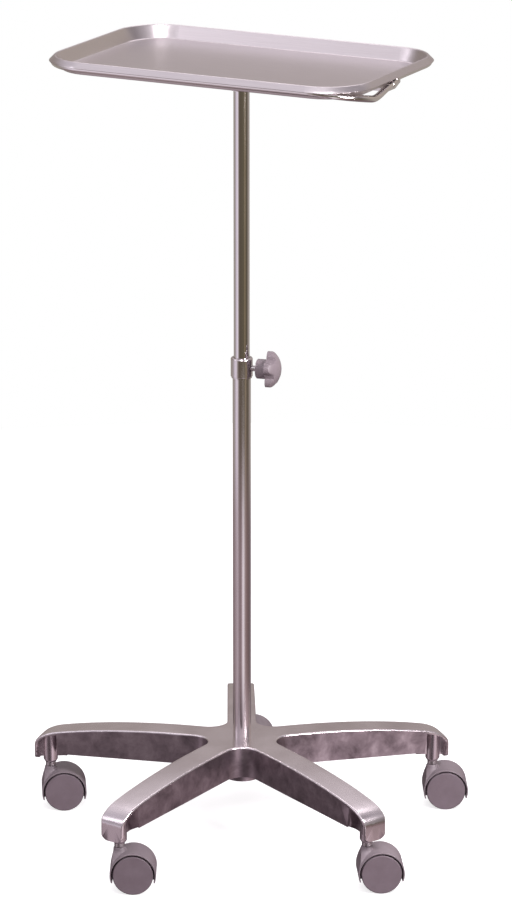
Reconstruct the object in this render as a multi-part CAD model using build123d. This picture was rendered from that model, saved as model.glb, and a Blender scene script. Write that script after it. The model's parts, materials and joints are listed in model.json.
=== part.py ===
from build123d import *
import math
import os

# Instrument cart: five-legged caster base, clamped telescopic column, lift-off tray.
# Millimetres. Origin on the floor under the column axis, +Z up,
# +X along the tray's long side, +Y along its short side.

# ---- tray ----
TRAY_LENGTH = 483.0
TRAY_WIDTH = 312.0
TRAY_CORNER = 70.0
TRAY_SHEET = 1.0
LIP_Z = 1115.0
CREST_INSET = 8.8
CREST_Z = 1123.8
WALL_FOOT_INSET = 18.4
TRAY_FLOOR_Z = 1104.0
TRAY_FOLD = 2.2
FLOOR_OVERLAP = 8.0

# ---- tray frame ----
ROD_DIA = 9.5
RING_INSET = 7.0
RING_Z = 1113.4
DIP_POINTS = (
    (216.0, -130.5, 5.0),
    (234.5, -88.0, 14.0),
    (234.5, -68.0, 16.5),
    (234.5, -50.0, 13.5),
    (234.5, -28.0, 8.5),
    (234.5, -6.0, 4.0),
)
DIP_END_Y = 20.0
BAR_WIDTH = 25.0
BAR_THICK = 4.0
BAR_Z = 1096.0
BAR_BEND_X = 225.5
BAR_LEFT_END = ((-238.5, 1107.0), (-233.5, 1107.0))
BAR_RIGHT_END = ((233.0, 1105.5),)
BAR_LEFT_SEAT = (-234.5, 1113.4, 0.0, 4.77)
BAR_RIGHT_SEAT = (234.5, 1110.4, 9.0, 5.2)
PLATE_LENGTH = 80.0
PLATE_WIDTH = 60.0
PLATE_THICK = 4.0
SOCKET_DIA = 32.0
SOCKET_HEIGHT = 16.0
SET_SCREW_DIA = 6.0
SET_SCREW_LENGTH = 9.0
SET_SCREW_DIRECTION = 90.0

# ---- column ----
COLUMN_DIA = 25.4
COLUMN_WALL = 1.5
COLUMN_FOOT_Z = 85.0
COLUMN_TOP_Z = 688.0
MAST_DIA = 22.2
MAST_WALL = 1.2
MAST_FOOT_Z = 470.0
GLIDE_DIA = 22.3
GLIDE_FLANGE = 6.0
GLIDE_SPIGOT = 22.0
FIXED_FIT = 0.02
RUNNING_FIT = 0.05

# ---- clamp ----
COLLAR_DIA = 30.7
COLLAR_FOOT_Z = 667.0
COLLAR_TOP_Z = 696.0
COLLAR_LIP = 3.0
COLLAR_ROUND = 2.4
COLLAR_STEP = 2.0
COLLAR_STEP_DIA = 28.6
CLAMP_Z = 681.0
CLAMP_DIRECTION = 12.0
STUD_DIA = 8.0
STUD_START = 13.3
STUD_END = 45.0
PAD_DIA = 7.0
PAD_START = 11.35
KNOB_HUB_DIA = 27.5
KNOB_HUB_START = 22.0
KNOB_HEAD_START = 37.5
KNOB_HEAD_RADIUS = 26.0
KNOB_CORE_RADIUS = 18.5
KNOB_LOBE_RADIUS = 8.0
KNOB_LOBES = 5
KNOB_END = 56.0
KNOB_DOME_RADIUS = 33.1
KNOB_EDGE = 1.2

# ---- base casting ----
LEG_COUNT = 5
FIRST_LEG_ANGLE = 117.5
LEG_ROOT_HALF = 21.0
LEG_TIP_HALF = 19.5
TIP_RADIUS = 308.5
TIP_CORNER = 7.0
CROTCH_FILLET = 25.0
HUB_TOP_Z = 140.0
HUB_FLAT_RADIUS = 30.0
SHOULDER = (274.0, 121.0)
NOSE_MID = (299.0, 112.0)
NOSE_FRONT_Z = 96.0
NOSE_FOOT_Z = 75.5
NOSE_CORNER = 14.0
NOSE_WEB = 5.0
NOSE_WEB_ROOT_Z = 80.5
WALL = 3.5
SKIN = 4.5
WALL_FOOT_ROOT_Z = 97.5
WALL_FOOT_TIP_Z = 87.5
WALL_END = 268.0
RIB = 4.0
TOP_EDGE_ROUND = 2.5
HUB_DIA = 51.0
HUB_FOOT_Z = 79.0
BOLT_DIA = 10.0
BOLT_HEAD_DIA = 17.0
BOLT_HEAD_HEIGHT = 6.4
WASHER_DIA = 24.0
WASHER_THICK = 1.6
RECESS_DIA = 26.0
RECESS_DEPTH = 2.0
PLUG_HEIGHT = 28.0
BOLT_ENGAGEMENT = 22.0

# ---- casters ----
STEM_CIRCLE = 289.7
BOSS_DIA = 20.6
BOSS_FOOT_DIA = 15.5
BOSS_FOOT_Z = 69.0
BOSS_TAPER = 4.0
BOSS_TOP_Z = 114.0
STEM_DIA = 11.0
STEM_TOP_Z = 102.0
STEM_SHOULDER_DIA = 14.5
STEM_SHOULDER_FOOT_Z = 63.8
JOURNAL_DIA = 8.0
JOURNAL_FOOT_Z = 37.0
GRIP_GROOVE_DIA = 9.0
GRIP_Z = 92.0
GRIP_HEIGHT = 3.0
GRIP_SPLIT = 1.5
WHEEL_DIA = 56.0
WHEEL_EDGE = 1.2
TRAIL = 18.7
HOOD_RADIUS = 32.0
HOOD_BORE_RADIUS = 30.3
HOOD_HALF_WIDTH = 23.5
HOOD_TIP_DROP = 10.5
HOOD_TOP_Z = 63.0
HOOD_POST_RADIUS = 8.2
HOOD_EDGE = 0.8
WEB_HALF = 6.0
WEB_RADIUS = 31.0
WEB_FOOT_Z = 16.0
WHEEL_INNER = 6.6
WHEEL_OUTER = 23.2
WHEEL_RIM = 3.2
WHEEL_FACE = 3.0
WHEEL_HUB_DIA = 13.0
AXLE_DIA = 6.0
AXLE_HALF = 18.5
CASTER_HEADINGS = (29.0, 30.5, 26.5, 30.5, 28.5)

NODES = {}


def rod(radius, start, end):
    """Upright cylinder between two heights."""
    return Pos(0, 0, (start + end) / 2) * Cylinder(radius, end - start)


def tube(outer, inner, start, end):
    """Upright tube between two heights, by radius."""
    return rod(outer, start, end) - rod(inner, start - 1, end + 1)


def turned(points):
    """Solid of revolution about Z from (radius, height) points."""
    wire = Polyline(*[(r, 0, z) for r, z in points], close=True)
    return revolve(make_face(wire), Axis.Z)


def along(direction, height):
    """Local +Z runs outward from the column at one height and angle."""
    return Pos(0, 0, height) * Rot(0, 0, direction) * Rot(0, 90, 0)


# ---------------- base casting ----------------

def leg_outline(inset, reach):
    """Plan of one leg along +X, drawn in by a wall thickness."""
    root = LEG_ROOT_HALF - inset
    tip = LEG_TIP_HALF - inset
    return make_face(Polyline((0, -root), (reach, -tip), (reach, tip), (0, root), close=True))


def star_plan(inset, reach, crotch, corner):
    """Plan of all the legs with rounded crotches and tips."""
    plan = leg_outline(inset, reach)
    for k in range(1, LEG_COUNT):
        plan += Rot(0, 0, 360 * k / LEG_COUNT) * leg_outline(inset, reach)
    crotches = [v for v in plan.vertices() if 10 < math.hypot(v.X, v.Y) < reach / 2]
    plan = fillet(crotches, crotch)
    if corner:
        tips = [v for v in plan.vertices() if math.hypot(v.X, v.Y) > reach - 1]
        plan = fillet(tips, corner)
    return plan


def top_curve(drop):
    """Top line of a leg from hub to nose, lowered by a skin thickness."""
    crown = Spline(
        (HUB_FLAT_RADIUS, 0, HUB_TOP_Z - drop),
        (SHOULDER[0], 0, SHOULDER[1] - drop),
        tangents=((1, 0, 0), (1, 0, -0.19)),
    )
    front = TIP_RADIUS - drop
    nose = Spline(
        crown @ 1,
        (NOSE_MID[0] - 0.6 * drop, 0, NOSE_MID[1] - 0.75 * drop),
        (front, 0, NOSE_FRONT_Z - drop / 2),
        tangents=(crown % 1, (0, 0, -1)),
    )
    return crown, nose


def casting_envelope():
    """Outer profile of the casting from hub to nose, turned about the column."""
    crown, nose = top_curve(0)
    lines = [
        Line((0, 0, HUB_TOP_Z), crown @ 0),
        crown,
        nose,
        Polyline(
            nose @ 1,
            (TIP_RADIUS, 0, NOSE_FOOT_Z),
            (STEM_CIRCLE, 0, NOSE_FOOT_Z),
            (STEM_CIRCLE, 0, WALL_FOOT_TIP_Z),
            (0, 0, WALL_FOOT_ROOT_Z),
            (0, 0, HUB_TOP_Z),
        ),
    ]
    return revolve(make_face(lines), Axis.Z)


def leg_pocket_profile():
    """Hollow under a leg, out to its end rib."""
    crown = top_curve(SKIN)[0]
    end = WALL_END - RIB
    return turned([
        (0, HUB_FOOT_Z),
        (end, HUB_FOOT_Z),
        (end, (crown @ 1).Z + 0.3),
        (200, 129.4 - SKIN),
        (115, 136.6 - SKIN),
        (0, HUB_TOP_Z - SKIN - 1),
    ])


def nose_cutter():
    """Opens both sides of a leg tip below its skin."""
    nose = top_curve(SKIN)[1]
    floor_z = NOSE_FOOT_Z - 5
    lines = [
        nose,
        Polyline(nose @ 1, ((nose @ 1).X, 0, floor_z), (WALL_END, 0, floor_z), nose @ 0),
    ]
    return extrude(make_face(lines), 40, both=True)


def nose_corner_cutter():
    """Rounds the two lower corners of a leg's front plate."""
    window = Plane.YZ * Pos(0, 20) * RectangleRounded(2 * LEG_TIP_HALF + 0.4, 40, NOSE_CORNER)
    block = Box(16, 60, NOSE_CORNER * 2)
    keep = extrude(window, 20, both=True)
    return Pos(TIP_RADIUS, 0, NOSE_FOOT_Z) * (block - keep)


def nose_web():
    """Upright web along a leg tip, from the end rib through the socket to the front plate."""
    start, end = WALL_END - 1, TIP_RADIUS - 2
    side = Polyline(
        (start, 0, BOSS_TOP_Z),
        (start, 0, NOSE_WEB_ROOT_Z),
        (end, 0, NOSE_FOOT_Z),
        (end, 0, BOSS_TOP_Z),
        close=True,
    )
    return extrude(make_face(side), NOSE_WEB / 2, both=True)


def rib_foot():
    """Tapered foot that carries a leg's end rib down to the nose web."""
    top = WALL_FOOT_TIP_Z + 2
    profile = make_face(Polyline(
        (-LEG_TIP_HALF, top),
        (-NOSE_WEB / 2, NOSE_WEB_ROOT_Z),
        (NOSE_WEB / 2, NOSE_WEB_ROOT_Z),
        (LEG_TIP_HALF, top),
        close=True,
    ))
    return Pos(WALL_END - RIB / 2, 0, 0) * extrude(Plane.YZ * profile, RIB / 2, both=True)


def caster_boss():
    """Socket under a leg tip with its tapered foot."""
    taper_top = BOSS_FOOT_Z + BOSS_TAPER
    return turned([
        (0, BOSS_FOOT_Z),
        (BOSS_FOOT_DIA / 2, BOSS_FOOT_Z),
        (BOSS_DIA / 2, taper_top),
        (BOSS_DIA / 2, BOSS_TOP_Z),
        (0, BOSS_TOP_Z),
    ])


def make_star_base():
    star = extrude(star_plan(0, TIP_RADIUS + 1, CROTCH_FILLET, TIP_CORNER), 200)
    star = star & casting_envelope()
    upper = [e for e in star.edges() if e.center().Z > 98 and e.length > 20]
    upper = [e for e in upper if math.hypot(e.center().X, e.center().Y) > 30]
    star = fillet(upper, TOP_EDGE_ROUND)
    inner = extrude(star_plan(WALL, WALL_END - RIB, CROTCH_FILLET, 0), 200)
    pocket = (inner & leg_pocket_profile()) - rod(HUB_DIA / 2, 0, 200)
    star -= pocket
    star += rod(HUB_DIA / 2, HUB_FOOT_Z, HUB_TOP_Z - 1)
    boss = Pos(STEM_CIRCLE, 0, 0) * caster_boss() + nose_web() + rib_foot()
    boss &= casting_envelope() + rod(STEM_CIRCLE + BOSS_DIA, 0, NOSE_FOOT_Z + 20)
    turns = [Rot(0, 0, 360 * k / LEG_COUNT) for k in range(LEG_COUNT)]
    for turn in turns:
        star -= turn * nose_cutter()
        star -= turn * nose_corner_cutter()
    for turn in turns:
        star += turn * boss
        star -= turn * Pos(STEM_CIRCLE, 0, 0) * rod(STEM_DIA / 2 + FIXED_FIT, 0, STEM_TOP_Z)
    star -= rod(COLUMN_DIA / 2 + FIXED_FIT, COLUMN_FOOT_Z, 200)
    star -= rod(BOLT_DIA / 2 + 0.25, 0, COLUMN_FOOT_Z + 1)
    star -= rod(RECESS_DIA / 2, 0, HUB_FOOT_Z + RECESS_DEPTH)
    return Rot(0, 0, FIRST_LEG_ANGLE) * star


# ---------------- column ----------------

def make_column():
    bore = COLUMN_DIA / 2 - COLUMN_WALL
    column = tube(COLUMN_DIA / 2, bore, COLUMN_FOOT_Z, COLUMN_TOP_Z)
    column -= along(CLAMP_DIRECTION, CLAMP_Z) * rod(STUD_DIA / 2 + RUNNING_FIT, 0, 40)
    plug_top = COLUMN_FOOT_Z + PLUG_HEIGHT
    plug = rod(bore - FIXED_FIT, COLUMN_FOOT_Z, plug_top)
    plug -= rod(BOLT_DIA / 2 + FIXED_FIT, 0, COLUMN_FOOT_Z + BOLT_ENGAGEMENT)
    NODES["column_tube"] = column
    NODES["column_foot_plug"] = plug


def make_column_bolt():
    seat = HUB_FOOT_Z + RECESS_DEPTH
    face = seat - WASHER_THICK
    head = RegularPolygon(BOLT_HEAD_DIA / 2, 6, major_radius=False)
    bolt = Pos(0, 0, face - BOLT_HEAD_HEIGHT) * extrude(head, BOLT_HEAD_HEIGHT)
    bolt += rod(BOLT_DIA / 2, face - 1, COLUMN_FOOT_Z + BOLT_ENGAGEMENT - 2)
    NODES["column_bolt"] = bolt
    NODES["column_washer"] = tube(WASHER_DIA / 2, BOLT_DIA / 2 + 0.25, face, seat)


def make_collar():
    outer = COLLAR_DIA / 2
    lip_inner = MAST_DIA / 2 + 0.35
    bore = COLUMN_DIA / 2 + FIXED_FIT
    lip_z = COLLAR_TOP_Z - COLLAR_LIP
    body = rod(outer, COLLAR_FOOT_Z + COLLAR_STEP, COLLAR_TOP_Z)
    body = fillet(body.edges().sort_by(Axis.Z)[-1], COLLAR_ROUND)
    body = chamfer(body.edges().sort_by(Axis.Z)[0], 0.5)
    body += rod(COLLAR_STEP_DIA / 2, COLLAR_FOOT_Z, COLLAR_FOOT_Z + COLLAR_STEP + 1)
    body -= rod(bore, COLLAR_FOOT_Z - 1, lip_z)
    body -= rod(lip_inner, lip_z - 1, COLLAR_TOP_Z + 1)
    body -= along(CLAMP_DIRECTION, CLAMP_Z) * rod(STUD_DIA / 2 + RUNNING_FIT, 0, 40)
    NODES["clamp_collar"] = body
    bushing_bore = MAST_DIA / 2 + RUNNING_FIT
    NODES["guide_bushing"] = tube(COLUMN_DIA / 2, bushing_bore, COLUMN_TOP_Z, lip_z)


def knob_plan():
    plan = Circle(KNOB_CORE_RADIUS)
    reach = KNOB_HEAD_RADIUS - KNOB_LOBE_RADIUS
    for k in range(KNOB_LOBES):
        turn = Rot(0, 0, 180 + 360 * k / KNOB_LOBES)
        plan += turn * Pos(reach, 0) * Circle(KNOB_LOBE_RADIUS)
    return plan


def make_clamp():
    place = along(CLAMP_DIRECTION, CLAMP_Z)
    head = Pos(0, 0, KNOB_HEAD_START) * extrude(knob_plan(), KNOB_END - KNOB_HEAD_START)
    head &= Pos(0, 0, KNOB_END - KNOB_DOME_RADIUS) * Sphere(KNOB_DOME_RADIUS)
    hub = rod(KNOB_HUB_DIA / 2, KNOB_HUB_START, KNOB_HEAD_START + 2)
    hub = chamfer(hub.edges().sort_by(Axis.Z)[0], KNOB_EDGE)
    knob = head + hub - rod(STUD_DIA / 2 + FIXED_FIT, 0, STUD_END)
    stud = rod(STUD_DIA / 2, STUD_START, STUD_END)
    NODES["clamp_knob"] = place * knob
    NODES["clamp_stud"] = place * chamfer(stud.edges().sort_by(Axis.Z)[0], 0.8)
    NODES["clamp_pad"] = place * rod(PAD_DIA / 2, PAD_START, STUD_START)


# ---------------- mast ----------------

def make_mast():
    bore = MAST_DIA / 2 - MAST_WALL
    top = BAR_Z - BAR_THICK / 2 - PLATE_THICK
    glide = rod(GLIDE_DIA / 2, MAST_FOOT_Z - GLIDE_FLANGE, MAST_FOOT_Z - 0.1)
    glide = chamfer(glide.edges().sort_by(Axis.Z)[0], 1)
    glide += rod(bore - RUNNING_FIT, MAST_FOOT_Z - 1, MAST_FOOT_Z + GLIDE_SPIGOT)
    screw_place = along(SET_SCREW_DIRECTION, top - SOCKET_HEIGHT / 2)
    socket = tube(SOCKET_DIA / 2, MAST_DIA / 2 + FIXED_FIT, top - SOCKET_HEIGHT, top)
    socket -= screw_place * rod(SET_SCREW_DIA / 2 + FIXED_FIT, 0, 40)
    screw = rod(SET_SCREW_DIA / 2, MAST_DIA / 2, MAST_DIA / 2 + SET_SCREW_LENGTH)
    recess = extrude(RegularPolygon(1.5, 6, major_radius=False), 3)
    screw -= Pos(0, 0, MAST_DIA / 2 + SET_SCREW_LENGTH - 3) * recess
    plate = Pos(0, 0, top + PLATE_THICK / 2) * Box(PLATE_LENGTH, PLATE_WIDTH, PLATE_THICK)
    NODES["mast_end_glide"] = glide
    NODES["mast_tube"] = tube(MAST_DIA / 2, bore, MAST_FOOT_Z, top)
    NODES["frame_socket"] = socket
    NODES["socket_set_screw"] = screw_place * screw
    NODES["frame_centre_plate"] = fillet(plate.edges().filter_by(Axis.Z), 6)


def ring_path():
    """Centreline of the bent rod, dipped at one corner, as two joined runs."""
    hx = TRAY_LENGTH / 2 - RING_INSET
    hy = TRAY_WIDTH / 2 - RING_INSET
    r = TRAY_CORNER - RING_INSET
    z = RING_Z
    dips = [(x, y, z - drop) for x, y, drop in DIP_POINTS]
    right = [
        Line((0, -hy, z), (hx - r, -hy, z)),
        Spline(
            (hx - r, -hy, z),
            *dips,
            (hx, DIP_END_Y, z),
            tangents=((1, 0, 0), (0, 1, 0)),
        ),
        Line((hx, DIP_END_Y, z), (hx, hy - r, z)),
        RadiusArc((hx, hy - r, z), (hx - r, hy, z), -r),
        Line((hx - r, hy, z), (0, hy, z)),
    ]
    left = [
        Line((0, hy, z), (-hx + r, hy, z)),
        RadiusArc((-hx + r, hy, z), (-hx, hy - r, z), -r),
        Line((-hx, hy - r, z), (-hx, -hy + r, z)),
        RadiusArc((-hx, -hy + r, z), (-hx + r, -hy, z), -r),
        Line((-hx + r, -hy, z), (0, -hy, z)),
    ]
    return right, left


def rod_seat(x, z, lean, radius):
    """Straight groove that seats the cross bar under the rod."""
    return Pos(x, 0, z) * Rot(90 + lean, 0, 0) * Cylinder(radius, 60)


def make_frame():
    """Bent rod ring and the flat cross bar under it."""
    runs = []
    for lines in ring_path():
        path = Wire(lines)
        start = Plane(origin=path @ 0, z_dir=path % 0)
        runs.append(sweep(start * Circle(ROD_DIA / 2), path=path))
    ring = runs[0] + runs[1]
    centre = [(-BAR_BEND_X, BAR_Z), (BAR_BEND_X, BAR_Z)]
    points = [*BAR_LEFT_END, *centre, *BAR_RIGHT_END]
    upper = [(x, 0, z + BAR_THICK / 2) for x, z in points]
    lower = [(x, 0, z - BAR_THICK / 2) for x, z in reversed(points)]
    bar = extrude(make_face(Polyline(*upper, *lower, close=True)), BAR_WIDTH / 2, both=True)
    NODES["tray_frame_ring"] = ring
    bar -= rod_seat(*BAR_LEFT_SEAT)
    bar -= rod_seat(*BAR_RIGHT_SEAT)
    NODES["frame_cross_bar"] = bar


# ---------------- tray ----------------

def offset_point(before, here, after, distance):
    """Corner of a polyline offset to its right by a sheet thickness."""
    def normal(p, q):
        dx, dz = q[0] - p[0], q[1] - p[1]
        size = math.hypot(dx, dz)
        return dz / size, -dx / size
    a = normal(before, here) if before else normal(here, after)
    b = normal(here, after) if after else a
    scale = distance / (1 + a[0] * b[0] + a[1] * b[1])
    return here[0] + (a[0] + b[0]) * scale, here[1] + (a[1] + b[1]) * scale


def make_tray():
    hx = TRAY_LENGTH / 2
    outer = [
        (0, LIP_Z),
        (CREST_INSET, CREST_Z),
        (WALL_FOOT_INSET, TRAY_FLOOR_Z),
        (WALL_FOOT_INSET + FLOOR_OVERLAP, TRAY_FLOOR_Z),
    ]
    ends = [None, *outer, None]
    under = [offset_point(ends[i], ends[i + 1], ends[i + 2], TRAY_SHEET) for i in range(len(outer))]
    def fold(points):
        return FilletPolyline(*[(-hx + p, 0, z) for p, z in points], radius=TRAY_FOLD)
    top, bottom = fold(outer), fold(under)
    section = make_face([top, bottom, Line(top @ 0, bottom @ 0), Line(top @ 1, bottom @ 1)])
    rim = Pos(0, 0, LIP_Z) * RectangleRounded(TRAY_LENGTH, TRAY_WIDTH, TRAY_CORNER)
    path = rim.wire()
    rim_solid = sweep(section, path=path, transition=Transition.ROUND)
    inset = WALL_FOOT_INSET + FLOOR_OVERLAP / 2
    floor = RectangleRounded(TRAY_LENGTH - 2 * inset, TRAY_WIDTH - 2 * inset, TRAY_CORNER - inset)
    plate = Pos(0, 0, TRAY_FLOOR_Z - TRAY_SHEET) * extrude(floor, TRAY_SHEET)
    NODES["instrument_tray"] = rim_solid + plate


# ---------------- casters ----------------

def make_stem():
    groove_top = GRIP_Z + GRIP_HEIGHT
    stem = turned([
        (0, JOURNAL_FOOT_Z),
        (JOURNAL_DIA / 2, JOURNAL_FOOT_Z),
        (JOURNAL_DIA / 2, STEM_SHOULDER_FOOT_Z),
        (STEM_SHOULDER_DIA / 2, STEM_SHOULDER_FOOT_Z),
        (STEM_SHOULDER_DIA / 2, BOSS_FOOT_Z),
        (STEM_DIA / 2, BOSS_FOOT_Z),
        (STEM_DIA / 2, GRIP_Z),
        (GRIP_GROOVE_DIA / 2, GRIP_Z),
        (GRIP_GROOVE_DIA / 2, groove_top),
        (STEM_DIA / 2, groove_top),
        (STEM_DIA / 2, STEM_TOP_Z - 1),
        (STEM_DIA / 2 - 1, STEM_TOP_Z),
        (0, STEM_TOP_Z),
    ])
    grip = tube(STEM_DIA / 2, GRIP_GROOVE_DIA / 2 + FIXED_FIT, GRIP_Z, groove_top)
    grip -= Pos(STEM_DIA / 2, 0, GRIP_Z) * Box(STEM_DIA, GRIP_SPLIT, 3 * GRIP_HEIGHT)
    return stem, grip


def hood_neck():
    """Side outline of the fill between the hood's stem post and its round back."""
    axle_z = WHEEL_DIA / 2
    slope = math.radians(80)
    reach = HOOD_RADIUS * math.cos(slope)
    rise = HOOD_RADIUS * math.sin(slope)
    return make_face(Polyline(
        (-HOOD_POST_RADIUS, HOOD_TOP_Z),
        (HOOD_POST_RADIUS * 0.8, HOOD_TOP_Z),
        (TRAIL + reach, axle_z + rise),
        (TRAIL, axle_z),
        (TRAIL - HOOD_RADIUS, axle_z + 4),
        (-HOOD_POST_RADIUS - 1.5, HOOD_TOP_Z - 14),
        close=True,
    ))


def make_hood():
    """Cover over both wheels with its stem post and the web between the wheels."""
    level = Plane.XZ
    centre = Pos(TRAIL, WHEEL_DIA / 2)
    shell = extrude(level * centre * Circle(HOOD_RADIUS), HOOD_HALF_WIDTH, both=True)
    shell = fillet(shell.edges().filter_by(GeomType.CIRCLE), HOOD_EDGE)
    funnel = turned([
        (0, WHEEL_DIA / 2),
        (HOOD_HALF_WIDTH + 8, WHEEL_DIA / 2),
        (HOOD_HALF_WIDTH - 1, WHEEL_DIA / 2 + 18),
        (HOOD_POST_RADIUS + 2.5, HOOD_TOP_Z - 6),
        (HOOD_POST_RADIUS, HOOD_TOP_Z - 1),
        (HOOD_POST_RADIUS - 1, HOOD_TOP_Z),
        (0, HOOD_TOP_Z),
    ])
    shell += extrude(level * hood_neck(), HOOD_HALF_WIDTH, both=True) & funnel
    shell -= extrude(level * centre * Circle(HOOD_BORE_RADIUS), 40, both=True)
    shell -= Pos(TRAIL, 0, WHEEL_DIA / 2 - HOOD_TIP_DROP - 30) * Box(100, 100, 60)
    web = extrude(level * centre * Circle(WEB_RADIUS), WEB_HALF, both=True)
    web -= Pos(TRAIL, 0, WEB_FOOT_Z - 30) * Box(100, 100, 60)
    hood = shell + web
    hood -= rod(JOURNAL_DIA / 2 + RUNNING_FIT, JOURNAL_FOOT_Z - 2, HOOD_TOP_Z + 10)
    return hood - extrude(level * centre * Circle(AXLE_DIA / 2 + FIXED_FIT), 40, both=True)


def make_wheel(side):
    """One wheel, rolled about a level axle, open on its inner face."""
    radius = WHEEL_DIA / 2
    hub = WHEEL_HUB_DIA / 2
    bore = AXLE_DIA / 2 + RUNNING_FIT
    face = WHEEL_OUTER - WHEEL_FACE
    section = [
        (0, WHEEL_OUTER),
        (radius - WHEEL_EDGE, WHEEL_OUTER),
        (radius, WHEEL_OUTER - WHEEL_EDGE),
        (radius, WHEEL_INNER + WHEEL_EDGE),
        (radius - WHEEL_EDGE, WHEEL_INNER),
        (radius - WHEEL_RIM, WHEEL_INNER),
        (radius - WHEEL_RIM, face),
        (hub, face),
        (hub, WHEEL_INNER),
        (bore, WHEEL_INNER),
        (bore, AXLE_HALF + 0.4),
        (0, AXLE_HALF + 0.4),
    ]
    return Pos(TRAIL, 0, radius) * Rot(90 * side, 0, 0) * turned(section)


def make_casters():
    stem, grip = make_stem()
    hood = make_hood()
    axle = Pos(TRAIL, 0, WHEEL_DIA / 2) * Rot(90, 0, 0) * rod(AXLE_DIA / 2, -AXLE_HALF, AXLE_HALF)
    wheels = {"wheel_a": make_wheel(1), "wheel_b": make_wheel(-1)}
    for k in range(LEG_COUNT):
        angle = math.radians(FIRST_LEG_ANGLE + 360 * k / LEG_COUNT)
        spot = Pos(STEM_CIRCLE * math.cos(angle), STEM_CIRCLE * math.sin(angle), 0)
        place = spot * Rot(0, 0, CASTER_HEADINGS[k])
        name = f"caster_{k + 1}_"
        NODES[name + "stem"] = place * stem
        NODES[name + "grip_ring"] = place * grip
        NODES[name + "hood"] = place * hood
        NODES[name + "axle"] = place * axle
        for label, wheel in wheels.items():
            NODES[name + label] = place * wheel


os.makedirs("parts", exist_ok=True)
NODES["star_base"] = make_star_base()
make_column()
make_column_bolt()
make_collar()
make_clamp()
make_mast()
make_frame()
make_tray()
make_casters()
for node, shape in NODES.items():
    export_step(shape, f"parts/{node}.step")
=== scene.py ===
import bpy
import json
import math
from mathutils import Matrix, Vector

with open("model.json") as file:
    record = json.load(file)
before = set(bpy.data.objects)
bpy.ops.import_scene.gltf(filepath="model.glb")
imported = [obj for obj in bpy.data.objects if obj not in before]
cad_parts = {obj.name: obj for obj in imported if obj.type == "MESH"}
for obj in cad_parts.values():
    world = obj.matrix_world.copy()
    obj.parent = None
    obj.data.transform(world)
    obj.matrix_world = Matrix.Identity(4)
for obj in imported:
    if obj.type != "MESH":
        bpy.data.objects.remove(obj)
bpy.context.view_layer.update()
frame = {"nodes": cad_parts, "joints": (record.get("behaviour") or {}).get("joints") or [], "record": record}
NODES = frame["nodes"]
JOINTS = {joint["name"]: joint for joint in frame["joints"]}
SCENE = bpy.context.scene

# ------------------------------------------------------------------ node helpers


def add_node(tree, kind, inputs=None, **settings):
    """Adds a shader node. Its settings are properties, and its inputs take values or links."""
    node = tree.nodes.new("ShaderNode" + kind)
    for name, value in settings.items():
        setattr(node, name, value)
    for name, value in (inputs or {}).items():
        if isinstance(value, bpy.types.NodeSocket):
            tree.links.new(value, node.inputs[name])
        else:
            node.inputs[name].default_value = value
    return node


def coordinates(tree, stretch=(1, 1, 1)):
    """Object coordinates in metres, scaled along each axis."""
    place = add_node(tree, "TexCoord").outputs["Object"]
    return add_node(tree, "Mapping", {"Vector": place, "Scale": stretch}).outputs["Vector"]


def noise(tree, vector, scale, detail=3.0, rough=0.5, distortion=0.0):
    """Noise from 0 to 1."""
    inputs = {
        "Vector": vector, "Scale": scale, "Detail": detail,
        "Roughness": rough, "Distortion": distortion,
    }
    return add_node(tree, "TexNoise", inputs).outputs["Fac"]


def ramp(tree, value, stops):
    """Colour ramp from (position, colour) stops; a single number means grey."""
    node = add_node(tree, "ValToRGB", {"Fac": value})
    elements = node.color_ramp.elements
    while len(elements) < len(stops):
        elements.new(0.5)
    for element, (position, colour) in zip(elements, stops):
        element.position = position
        if isinstance(colour, (int, float)):
            colour = (colour, colour, colour)
        element.color = (*colour, 1.0)
    return node.outputs["Color"]


def blend_colour(tree, factor, first, second):
    """The first colour where the factor is 0 and the second where it is 1."""
    inputs = {"Factor": factor, "A": first, "B": second}
    return add_node(tree, "Mix", inputs, data_type="RGBA").outputs["Result"]


def length_of(tree, vector):
    """Length of a vector."""
    return add_node(tree, "VectorMath", {0: vector}, operation="LENGTH").outputs["Value"]


def relief(height, strength, depth):
    """One layer of bump: a height from 0 to 1, how strongly it shows and its depth in metres."""
    return {"Height": height, "Strength": strength, "Distance": depth}


def bump(tree, shader, layers):
    """Chain of bump nodes, one for each layer of relief."""
    normal = None
    for layer in layers:
        below = {"Normal": normal} if normal else {}
        normal = add_node(tree, "Bump", {**layer, **below}).outputs["Normal"]
    tree.links.new(normal, shader.inputs["Normal"])


# ------------------------------------------------------------------ materials


def material(name, metallic=0.0):
    """New node material, with its tree and its Principled shader."""
    mat = bpy.data.materials.new(name)
    mat.use_nodes = True
    shader = mat.node_tree.nodes["Principled BSDF"]
    shader.inputs["Metallic"].default_value = metallic
    return mat, mat.node_tree, shader


def set_looks(tree, shader, colour, rough):
    """Links a material's colour and roughness."""
    tree.links.new(colour, shader.inputs["Base Color"])
    tree.links.new(rough, shader.inputs["Roughness"])


def metal(name, dark, light, rough, stretch, grain, depth, wobble=None):
    """Metal with drifting tone, streaked roughness, a fine grain and, if asked, a slight waviness."""
    mat, tree, shader = material(name, metallic=1.0)
    vector = coordinates(tree)
    drift = noise(tree, vector, scale=9.0)
    streaks = noise(tree, coordinates(tree, stretch), scale=grain, detail=4.0, rough=0.6)
    tone = ramp(tree, drift, [(0.3, dark), (0.7, light)])
    set_looks(tree, shader, tone, ramp(tree, streaks, [(0.25, rough[0]), (0.75, rough[1])]))
    layers = [relief(streaks, strength=0.35, depth=depth)]
    if wobble:
        waves = noise(tree, vector, scale=60.0, detail=2.0)
        layers.append(relief(waves, strength=0.4, depth=wobble))
    bump(tree, shader, layers)
    return mat


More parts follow.
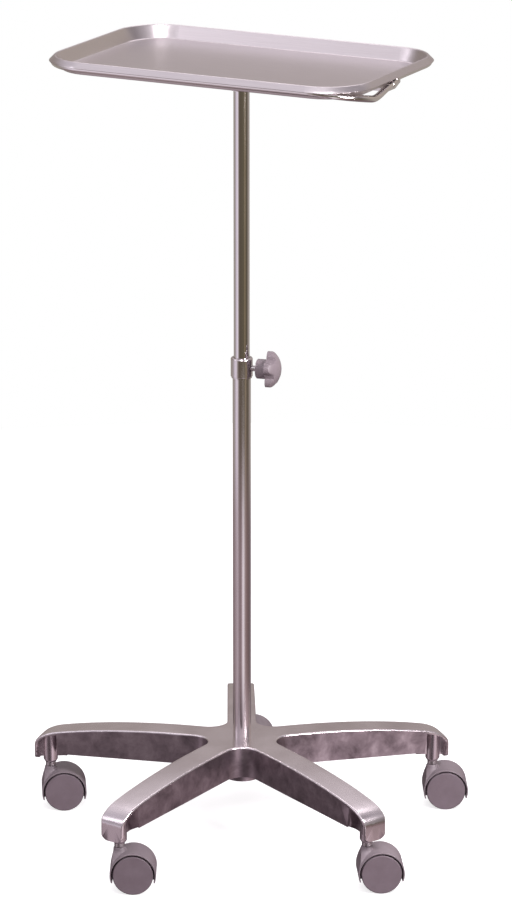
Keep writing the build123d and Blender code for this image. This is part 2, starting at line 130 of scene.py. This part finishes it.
def plastic(name, dark, light, rough, grain=1400.0, grain_depth=0.00003):
    """Moulded plastic: faint mottling, spark-eroded grain and a soft sheen."""
    mat, tree, shader = material(name)
    vector = coordinates(tree)
    mottled = noise(tree, vector, scale=55.0, detail=4.0, rough=0.6)
    fine = noise(tree, vector, scale=grain, detail=2.0)
    tone = ramp(tree, mottled, [(0.3, dark), (0.7, light)])
    set_looks(tree, shader, tone, ramp(tree, fine, [(0.3, rough[0]), (0.7, rough[1])]))
    shader.inputs["Specular IOR Level"].default_value = 0.42
    bump(tree, shader, [
        relief(fine, strength=0.3, depth=grain_depth),
        relief(mottled, strength=0.12, depth=0.0001),
    ])
    return mat


# The casting is polished where it faces up and at its tips, which begin near the caster stems; the band
# round the bosses at the stems is lightened as painted light in their shaded recess.
STEM_CIRCLE = math.hypot(*JOINTS["caster_1_swivel"]["pos_m"][:2])
UPWARD_POLISH = [(0.30, 0.0), (0.62, 1.0)]
# Painted light: the three-quarter band round the caster bosses lightens their shaded recess; full strength
# beyond it is the polished noses.
TIP_POLISH_AND_PAINTED_LIGHT = [
    (STEM_CIRCLE - 0.0177, 0.0),
    (STEM_CIRCLE - 0.0087, 0.75),
    (STEM_CIRCLE + 0.0113, 0.75),
    (STEM_CIRCLE + 0.0153, 1.0),
]
CAST_SIDE_TONES = [
    (0.30, (0.20, 0.165, 0.18)),
    (0.52, (0.42, 0.36, 0.39)),
    (0.74, (0.66, 0.60, 0.63)),
]
CAST_TOP_TONES = [(0.3, (0.74, 0.68, 0.70)), (0.7, (0.84, 0.78, 0.80))]
FLAT_HEIGHT = (0.5, 0.5, 0.5, 1.0)


def polish_and_painted_light_share(tree, vector):
    """From 0 where the casting is left as cast to 1 where it is polished; round the caster bosses the share
    is painted light.
    """
    normal = add_node(tree, "NewGeometry").outputs["Normal"]
    upward = add_node(tree, "SeparateXYZ", {"Vector": normal}).outputs["Z"]
    place = add_node(tree, "SeparateXYZ", {"Vector": vector}).outputs
    across = add_node(tree, "CombineXYZ", {"X": place["X"], "Y": place["Y"]}).outputs["Vector"]
    facing_up = ramp(tree, upward, UPWARD_POLISH)
    tip = ramp(tree, length_of(tree, across), TIP_POLISH_AND_PAINTED_LIGHT)
    return add_node(tree, "Math", {0: facing_up, 1: tip}, operation="MAXIMUM").outputs["Value"]


def cast_aluminium():
    """Casting with polished tops and tips, painted light round the caster bosses, and duller mottled sides.
    """
    mat, tree, shader = material("cast_aluminium", metallic=1.0)
    vector = coordinates(tree)
    polish_and_painted_light = polish_and_painted_light_share(tree, vector)
    blotches = noise(tree, vector, scale=34.0, detail=5.0, rough=0.62, distortion=0.3)
    haze = noise(tree, vector, scale=16.0)
    grit = noise(tree, vector, scale=900.0, rough=0.6)
    side = ramp(tree, blotches, CAST_SIDE_TONES)
    top = ramp(tree, haze, CAST_TOP_TONES)
    side_rough = ramp(tree, blotches, [(0.3, 0.42), (0.7, 0.30)])
    top_rough = ramp(tree, haze, [(0.3, 0.20), (0.7, 0.27)])
    # Lighter where polished, and lighter round the caster bosses as painted light.
    tone = blend_colour(tree, polish_and_painted_light, side, top)
    set_looks(tree, shader, tone, blend_colour(tree, polish_and_painted_light, side_rough, top_rough))
    bump(tree, shader, [
        relief(blend_colour(tree, polish_and_painted_light, grit, FLAT_HEIGHT), strength=0.25, depth=0.00005),
        relief(blend_colour(tree, polish_and_painted_light, blotches, FLAT_HEIGHT), strength=0.25, depth=0.0006),
        relief(haze, strength=0.10, depth=0.0003),
    ])
    return mat


def brushed_tray():
    """Satin stainless sheet, brushed along its length, with faint handling marks."""
    mat, tree, shader = material("brushed_stainless", metallic=1.0)
    along = coordinates(tree, (5.0, 420.0, 420.0))
    streaks = noise(tree, along, scale=3.0, detail=4.0, rough=0.65)
    cloud = noise(tree, coordinates(tree), scale=7.0)
    wiped = coordinates(tree, (1.0, 6.0, 1.0))
    marks = noise(tree, wiped, scale=120.0, detail=6.0, rough=0.7, distortion=1.2)
    tone = ramp(tree, streaks, [(0.3, (0.70, 0.655, 0.665)), (0.7, (0.79, 0.745, 0.755))])
    shade = ramp(tree, cloud, [(0.3, (0.70, 0.66, 0.66)), (0.7, (0.78, 0.74, 0.76))])
    marked = ramp(tree, marks, [(0.45, 0.0), (0.75, 0.6)])
    rough = ramp(tree, streaks, [(0.2, 0.27), (0.8, 0.36)])
    set_looks(tree, shader, blend_colour(tree, marked, tone, shade), rough)
    bump(tree, shader, [
        relief(streaks, strength=0.18, depth=0.00004),
        relief(marks, strength=0.05, depth=0.00005),
    ])
    return mat


SATIN_CHROME = metal(
    "satin_chrome", dark=(0.76, 0.71, 0.72), light=(0.83, 0.78, 0.79), rough=(0.13, 0.20),
    stretch=(90.0, 90.0, 3.0), grain=6.0, depth=0.00002, wobble=0.00004)
ROD_CHROME = metal(
    "rod_chrome", dark=(0.78, 0.74, 0.73), light=(0.85, 0.81, 0.80), rough=(0.08, 0.14),
    stretch=(30.0, 30.0, 30.0), grain=8.0, depth=0.00001, wobble=0.00005)
LOOKS = {
    "chrome": metal(
        "bright_chrome", dark=(0.80, 0.76, 0.77), light=(0.86, 0.82, 0.83), rough=(0.07, 0.12),
        stretch=(60.0, 60.0, 3.0), grain=6.0, depth=0.00001, wobble=0.00003),
    "steel": metal(
        "zinc_steel", dark=(0.62, 0.60, 0.60), light=(0.72, 0.70, 0.70), rough=(0.22, 0.34),
        stretch=(200.0, 200.0, 60.0), grain=5.0, depth=0.00003),
    "hood_plastic": plastic(
        "hood_plastic", dark=(0.215, 0.178, 0.196), light=(0.250, 0.212, 0.232), rough=(0.36, 0.46)),
    "wheel_plastic": plastic(
        "wheel_plastic", dark=(0.190, 0.150, 0.170), light=(0.222, 0.180, 0.203), rough=(0.50, 0.60)),
    "knob_plastic": plastic(
        "knob_plastic", dark=(0.225, 0.187, 0.205), light=(0.262, 0.222, 0.243), rough=(0.36, 0.46)),
    "nylon": plastic(
        "natural_nylon", dark=(0.66, 0.64, 0.58), light=(0.74, 0.72, 0.67), rough=(0.40, 0.52)),
    "cast_aluminium": cast_aluminium(),
    "stainless": brushed_tray(),
}
NODE_LOOKS = {"column_tube": SATIN_CHROME, "clamp_collar": SATIN_CHROME, "tray_frame_ring": ROD_CHROME}

# ------------------------------------------------------------------ CAD nodes

WELD_DISTANCE = 0.00001
SMOOTH_ANGLE = math.radians(35.0)
LARGE_FACE_WEIGHT = 80


def dress(obj, mat):
    """Gives a node one material."""
    obj.data.materials.clear()
    obj.data.materials.append(mat)


def smooth(obj):
    """Modifiers that weld the seams, smooth gentle edges and keep large faces flat."""
    joiner = obj.modifiers.new("weld", "WELD")
    joiner.merge_threshold = WELD_DISTANCE
    with bpy.context.temp_override(object=obj, active_object=obj, selected_objects=[obj],
                                   selected_editable_objects=[obj]):
        bpy.ops.object.shade_auto_smooth(angle=SMOOTH_ANGLE)
    weighted = obj.modifiers.new("weighted_normals", "WEIGHTED_NORMAL")
    weighted.mode = "FACE_AREA"
    weighted.weight = LARGE_FACE_WEIGHT
    weighted.keep_sharp = True


for subpart in frame["record"]["subparts"]:
    node_name = subpart["node"]
    dress(NODES[node_name], NODE_LOOKS.get(node_name, LOOKS[subpart["material_slot"]]))
    smooth(NODES[node_name])

# ------------------------------------------------------------------ surroundings

# Each list is what the metal sees round about, as (bearing in degrees, colour): on the floor
# close to the stand and further out, where the floor glows as a painted reflection, at the
# horizon, above it and overhead.
# Painted shade: close to the stand the floor glows mostly dark in reflections; its bright bands are painted
# highlights.
PAINTED_NEAR_FLOOR = [
    (-180, (0.080, 0.062, 0.068)),
    (-158, (0.14, 0.105, 0.12)),
    (-134, (0.52, 0.43, 0.48)),
    (-112, (0.17, 0.13, 0.145)),
    (-96, (0.13, 0.10, 0.11)),
    (-66, (0.045, 0.035, 0.040)),
    (-46, (0.38, 0.30, 0.34)),
    (-26, (1.0, 0.83, 0.90)),
    (-6, (0.52, 0.42, 0.45)),
    (12, (0.50, 0.39, 0.40)),
    (46, (0.27, 0.20, 0.225)),
    (80, (0.16, 0.12, 0.135)),
    (179, (0.080, 0.062, 0.068)),
]
# Painted reflection: the floor further out.
PAINTED_FAR_FLOOR = [
    (-180, (0.26, 0.20, 0.21)),
    (-140, (0.42, 0.34, 0.37)),
    (-118, (0.50, 0.42, 0.46)),
    (-96, (0.30, 0.23, 0.25)),
    (-80, (0.27, 0.20, 0.21)),
    (-66, (0.38, 0.30, 0.32)),
    (-54, (0.86, 0.78, 0.84)),
    (-38, (0.90, 0.84, 0.88)),
    (-26, (0.44, 0.36, 0.36)),
    (-8, (0.27, 0.19, 0.19)),
    (30, (0.17, 0.12, 0.12)),
    (60, (0.20, 0.16, 0.17)),
    (179, (0.26, 0.20, 0.21)),
]
HORIZON = [
    (-180, (0.36, 0.33, 0.30)),
    (-158, (0.44, 0.40, 0.42)),
    (-142, (0.72, 0.66, 0.76)),
    (-122, (0.86, 0.80, 0.90)),
    (-108, (0.36, 0.32, 0.30)),
    (-94, (0.11, 0.09, 0.065)),
    (-58, (0.12, 0.10, 0.07)),
    (-28, (0.13, 0.11, 0.07)),
    (-14, (0.28, 0.22, 0.14)),
    (0, (0.10, 0.085, 0.055)),
    (20, (0.13, 0.11, 0.08)),
    (60, (0.42, 0.38, 0.35)),
    (179, (0.36, 0.33, 0.30)),
]
ABOVE_HORIZON = [
    (-180, (0.26, 0.22, 0.19)),
    (-140, (0.44, 0.40, 0.44)),
    (-110, (0.40, 0.365, 0.41)),
    (-60, (0.56, 0.50, 0.54)),
    (4, (0.36, 0.33, 0.33)),
    (20, (0.14, 0.12, 0.13)),
    (38, (0.40, 0.36, 0.36)),
    (60, (0.50, 0.44, 0.385)),
    (100, (0.39, 0.34, 0.335)),
    (122, (0.365, 0.32, 0.305)),
    (179, (0.26, 0.22, 0.19)),
]
OVERHEAD = [
    (-180, (0.58, 0.54, 0.60)),
    (-164, (0.62, 0.58, 0.64)),
    (-142, (0.98, 0.93, 1.00)),
    (-110, (0.95, 0.90, 0.96)),
    (-40, (0.70, 0.65, 0.70)),
    (10, (0.34, 0.31, 0.34)),
    (55, (0.34, 0.31, 0.34)),
    (100, (0.76, 0.70, 0.74)),
    (130, (0.80, 0.74, 0.79)),
    (179, (0.58, 0.54, 0.60)),
]
FLOOR_RADIUS = 2.1
FLOOR_SIDES = 64
FLOOR_DROP = 0.0004
FLOOR_GREY = (0.60, 0.60, 0.60, 1)
FLOOR_GLOW = 0.72
WHITE = (1, 1, 1, 1)

# Where one list gives way to the next: on the floor by the share of its radius, and in the
# surroundings by the height of the direction.
NEAR_TO_FAR = [(0.21, 0.0), (0.32, 1.0)]
FAR_TO_HORIZON = [(0.70, 0.0), (0.93, 1.0)]
HORIZON_TO_ABOVE = [(0.0, 0.0), (0.10, 1.0)]
ABOVE_TO_OVERHEAD = [(0.38, 0.0), (0.68, 1.0)]


def bearing_and_height(tree, vector):
    """Bearing of a direction, as 0 to 1 from -180 to 180 degrees, and its vertical part."""
    parts = add_node(tree, "SeparateXYZ", {"Vector": vector}).outputs
    angle = add_node(tree, "Math", {0: parts["Y"], 1: parts["X"]}, operation="ARCTAN2").outputs["Value"]
    turn = add_node(tree, "MapRange", {"Value": angle, "From Min": -math.pi, "From Max": math.pi})
    return turn.outputs["Result"], parts["Z"]


def banded(tree, around, bands):
    """Colours by bearing, from (bearing in degrees, colour) bands."""
    return ramp(tree, around, [((degrees + 180.0) / 360.0, colour) for degrees, colour in bands])


def painted_floor_reflection(tree):
    """Painted reflection: the floor glows for reflected rays in colours that change with the bearing and the
    distance, mostly dark close to the stand as painted shade.
    """
    geometry = add_node(tree, "NewGeometry").outputs
    outward = add_node(tree, "VectorMath", {0: geometry["Incoming"], "Scale": -1.0}, operation="SCALE")
    around = bearing_and_height(tree, outward.outputs["Vector"])[0]
    inputs = {0: length_of(tree, geometry["Position"]), 1: FLOOR_RADIUS}
    share = add_node(tree, "Math", inputs, operation="DIVIDE").outputs["Value"]
    far = banded(tree, around, PAINTED_FAR_FLOOR)
    outer = blend_colour(tree, ramp(tree, share, FAR_TO_HORIZON), far, banded(tree, around, HORIZON))
    # Painted shade close to the stand.
    near = banded(tree, around, PAINTED_NEAR_FLOOR)
    spread = blend_colour(tree, ramp(tree, share, NEAR_TO_FAR), near, outer)
    return add_node(tree, "Emission", {"Color": spread}).outputs[0]


def floor_material():
    """White to look at, glowing with a banded painted reflection for other rays, and clear from below."""
    mat = bpy.data.materials.new("pale_floor")
    mat.use_nodes = True
    tree = mat.node_tree
    tree.nodes.clear()
    diffuse = add_node(tree, "BsdfDiffuse", {"Color": FLOOR_GREY}).outputs[0]
    glow = add_node(tree, "Emission", {"Color": WHITE, "Strength": FLOOR_GLOW}).outputs[0]
    pale = add_node(tree, "AddShader", {0: diffuse, 1: glow}).outputs[0]
    looked_at = add_node(tree, "LightPath").outputs["Is Camera Ray"]
    # Rays other than the camera's see the floor's painted reflection glow.
    above = add_node(tree, "MixShader", {0: looked_at, 1: painted_floor_reflection(tree), 2: pale}).outputs[0]
    from_below = add_node(tree, "NewGeometry").outputs["Backfacing"]
    clear = add_node(tree, "BsdfTransparent").outputs[0]
    one_way = add_node(tree, "MixShader", {0: from_below, 1: above, 2: clear}).outputs[0]
    add_node(tree, "OutputMaterial", {"Surface": one_way})
    return mat


def add_floor():
    """Disc just under the wheels."""
    mesh = bpy.data.meshes.new("floor")
    angles = [2 * math.pi * k / FLOOR_SIDES for k in range(FLOOR_SIDES)]
    ring = [(math.cos(a) * FLOOR_RADIUS, math.sin(a) * FLOOR_RADIUS, -FLOOR_DROP) for a in angles]
    mesh.from_pydata(ring, [], [list(range(FLOOR_SIDES))])
    mesh.materials.append(floor_material())
    floor = bpy.data.objects.new("floor", mesh)
    SCENE.collection.objects.link(floor)


def add_world():
    """Soft studio surround: white to look at, softly banded in reflections."""
    world = bpy.data.worlds.new("studio")
    SCENE.world = world
    world.use_nodes = True
    tree = world.node_tree
    tree.nodes.clear()
    direction = add_node(tree, "TexCoord").outputs["Generated"]
    around, height = bearing_and_height(tree, direction)
    low = banded(tree, around, HORIZON)
    high = banded(tree, around, ABOVE_HORIZON)
    sides = blend_colour(tree, ramp(tree, height, HORIZON_TO_ABOVE), low, high)
    overhead = banded(tree, around, OVERHEAD)
    surround = blend_colour(tree, ramp(tree, height, ABOVE_TO_OVERHEAD), sides, overhead)
    lit = add_node(tree, "Background", {"Color": surround}).outputs[0]
    white = add_node(tree, "Background", {"Color": WHITE}).outputs[0]
    looked_at = add_node(tree, "LightPath").outputs["Is Camera Ray"]
    mix = add_node(tree, "MixShader", {0: looked_at, 1: lit, 2: white}).outputs[0]
    add_node(tree, "OutputWorld", {"Surface": mix})


add_floor()
add_world()

# ------------------------------------------------------------------ lights

MIDDLE = Vector((0.0, 0.0, 0.6))
RIGHT_LEGS = Vector((0.2, 0.0, 0.08))


def add_softbox(name, target, azimuth, elevation, distance, size, power, colour):
    """Area light aimed at a point from a bearing, an elevation and a distance."""
    a, e = math.radians(azimuth), math.radians(elevation)
    spot = Vector((math.cos(a) * math.cos(e), math.sin(a) * math.cos(e), math.sin(e))) * distance
    light = bpy.data.lights.new(name, "AREA")
    light.shape = "RECTANGLE"
    light.size, light.size_y = size
    light.energy = power
    light.color = colour
    obj = bpy.data.objects.new(name, light)
    obj.location = target + spot
    obj.rotation_euler = (-spot).to_track_quat("-Z", "Y").to_euler()
    SCENE.collection.objects.link(obj)


add_softbox("key", MIDDLE, azimuth=-66.0, elevation=50.0, distance=3.6, size=(0.9, 0.9),
            power=34.0, colour=(1.0, 0.97, 1.0))
add_softbox("left_fill", MIDDLE, azimuth=-140.0, elevation=30.0, distance=4.0, size=(1.2, 2.0),
            power=9.0, colour=(0.96, 0.92, 1.0))
add_softbox("rear_top", MIDDLE, azimuth=110.0, elevation=62.0, distance=3.4, size=(2.4, 1.6),
            power=18.0, colour=(1.0, 0.96, 0.98))
add_softbox("right_side", RIGHT_LEGS, azimuth=-18.0, elevation=46.0, distance=1.35, size=(0.42, 0.36),
            power=17.0, colour=(1.0, 0.95, 0.98))

# ------------------------------------------------------------------ camera

# Angles in degrees, distance and height in metres, lens and sensor in millimetres.
CAMERA_BEARING = 27.11
CAMERA_DISTANCE = 6.0699
CAMERA_HEIGHT = 2.3393
CAMERA_TILT = 16.461077
CAMERA_YAW = 0.187
LENS = 177.08
SENSOR = 36.0
CLIP_END = 60.0


def add_camera():
    """Camera looking down at the stand from the right of its front."""
    data = bpy.data.cameras.new("camera")
    data.sensor_width = SENSOR
    data.lens = LENS
    data.clip_end = CLIP_END
    obj = bpy.data.objects.new("camera", data)
    bearing = math.radians(CAMERA_BEARING)
    obj.location = (
        math.sin(bearing) * CAMERA_DISTANCE,
        -math.cos(bearing) * CAMERA_DISTANCE,
        CAMERA_HEIGHT,
    )
    obj.rotation_euler = (
        math.radians(90.0 - CAMERA_TILT),
        0.0,
        math.radians(CAMERA_BEARING - CAMERA_YAW),
    )
    SCENE.collection.objects.link(obj)
    SCENE.camera = obj


add_camera()
SCENE.view_settings.view_transform = "Standard"
SCENE.view_settings.look = "None"

bpy.context.view_layer.update()
